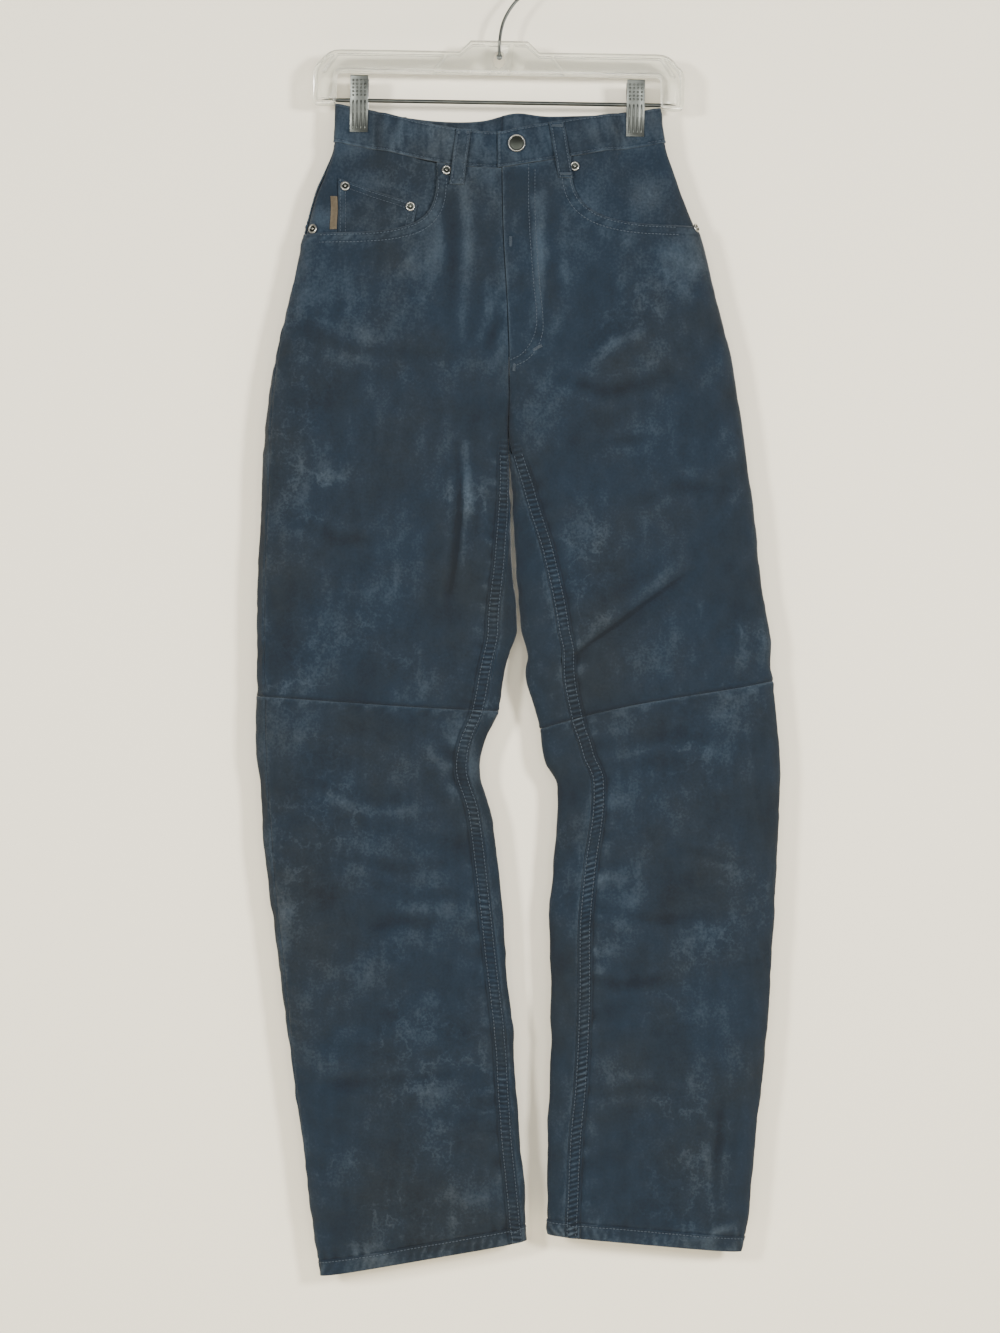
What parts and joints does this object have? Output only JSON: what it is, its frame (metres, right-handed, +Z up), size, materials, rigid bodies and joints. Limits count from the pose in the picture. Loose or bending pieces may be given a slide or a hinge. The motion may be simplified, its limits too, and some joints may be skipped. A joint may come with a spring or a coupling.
{
  "type": "leather trousers on a clip hanger",
  "caption": "Five-pocket leather trousers with knee seams, hung flat by the waist from a clear clip hanger with a wire hook.",
  "frame": {"origin": "inside top of the hanger's hook, where a rail carries it", "axes": "+Z up along the hanging garment, -Y out of its front, +X to the wearer's left"},
  "size_m": [0.4985, 0.0419, 1.2543],
  "materials": {
    "leather": "slate-blue nubuck, mottled and scuffed, matt",
    "facing_leather": "the same nubuck, less worn",
    "label_leather": "plain brown tab, bare",
    "button_metal": "aged nickel rim round a dark dished centre",
    "rivet_metal": "nickel, slightly dull",
    "clear_plastic": "clear moulded plastic",
    "steel": "bright plated steel",
    "hook_wire": "plated wire"
  },
  "bodies": {
    "root": {"front_thigh_right": "leather", "front_thigh_left": "leather", "front_calf_right": "leather", "front_calf_left": "leather", "back_yoke_right": "leather", "back_yoke_left": "leather", "back_thigh_right": "leather", "back_thigh_left": "leather", "back_calf_right": "leather", "back_calf_left": "leather", "waistband_right": "leather", "waistband_left": "leather", "fly_facing": "leather", "coin_pocket": "leather", "belt_loop_front_right": "leather", "belt_loop_front_left": "leather", "belt_loop_side_right": "leather", "belt_loop_side_left": "leather", "belt_loop_back": "leather", "pocket_facing_right": "facing_leather", "pocket_facing_left": "facing_leather", "side_label": "label_leather", "waist_button": "button_metal", "rivet_mouth_right": "rivet_metal", "rivet_side_right": "rivet_metal", "rivet_coin_side": "rivet_metal", "rivet_coin_centre": "rivet_metal", "rivet_mouth_left": "rivet_metal", "rivet_side_left": "rivet_metal", "hanger_body": "clear_plastic", "hanger_bar": "steel", "clip_right": "steel", "clip_left": "steel", "hanger_hook": "hook_wire"}
  },
  "joints": []
}
